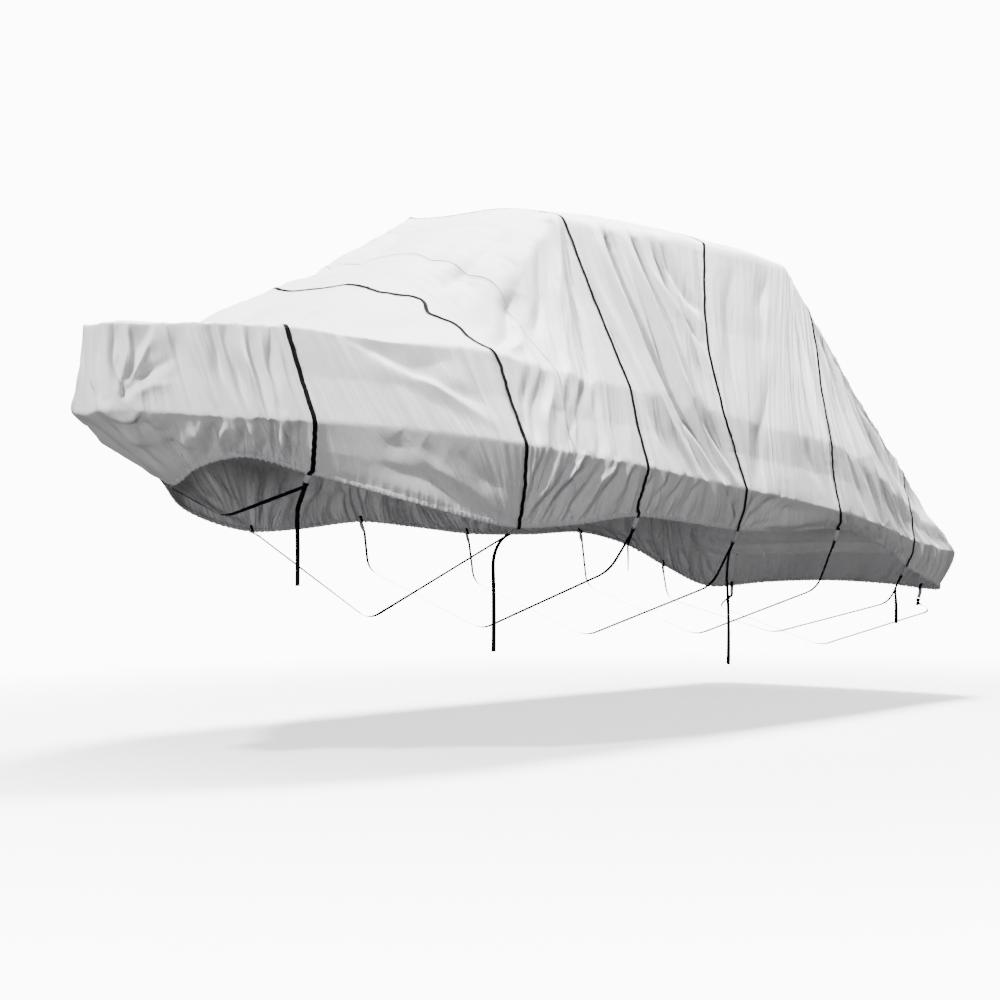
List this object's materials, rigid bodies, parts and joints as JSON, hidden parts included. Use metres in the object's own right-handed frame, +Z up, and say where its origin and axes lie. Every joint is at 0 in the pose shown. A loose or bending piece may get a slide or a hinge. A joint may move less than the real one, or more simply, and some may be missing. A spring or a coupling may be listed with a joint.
{
  "type": "boat cover",
  "caption": "Fitted woven polyester cover for a boat with a hard top: draped hollow shell with a gathered hem, sewn webbing straps, cloth tabs, buckles and ties that pass under the hull.",
  "frame": {"origin": "on the underside of the cloth over the middle of the hard top, which carries the cover", "axes": "+Z up, +X towards the stern, so the bow points to -X and port to -Y"},
  "size_m": [7.6192, 2.5358, 3.0453],
  "materials": {
    "cloth": "woven polyester, pale silver grey, slight sheen",
    "webbing": "black woven polyester webbing, 25 mm",
    "tab": "folded woven polyester tab",
    "buckle": "black moulded acetal"
  },
  "bodies": {
    "root": {"bow_panel": "cloth", "buckle_1": "buckle", "buckle_2": "buckle", "buckle_3": "buckle", "buckle_4": "buckle", "buckle_5": "buckle", "buckle_6": "buckle", "buckle_7": "buckle", "loose_end_1": "webbing", "loose_end_2": "webbing", "loose_end_3": "webbing", "loose_end_4": "webbing", "loose_end_6": "webbing", "main_panel": "cloth", "stern_strap_port": "webbing", "stern_strap_starboard": "webbing", "strap_1": "webbing", "strap_2": "webbing", "strap_3": "webbing", "strap_4": "webbing", "strap_5": "webbing", "strap_6": "webbing", "tab_1_port": "tab", "tab_1_starboard": "tab", "tab_2_port": "tab", "tab_2_starboard": "tab", "tab_3_port": "tab", "tab_3_starboard": "tab", "tab_4_port": "tab", "tab_4_starboard": "tab", "tab_5_port": "tab", "tab_5_starboard": "tab", "tab_6_port": "tab", "tab_6_starboard": "tab", "tab_7_port": "tab", "tab_7_starboard": "tab", "under_strap_1": "webbing", "under_strap_2": "webbing", "under_strap_3": "webbing", "under_strap_4": "webbing", "under_strap_5": "webbing", "under_strap_6": "webbing", "under_strap_7": "webbing"}
  },
  "joints": []
}
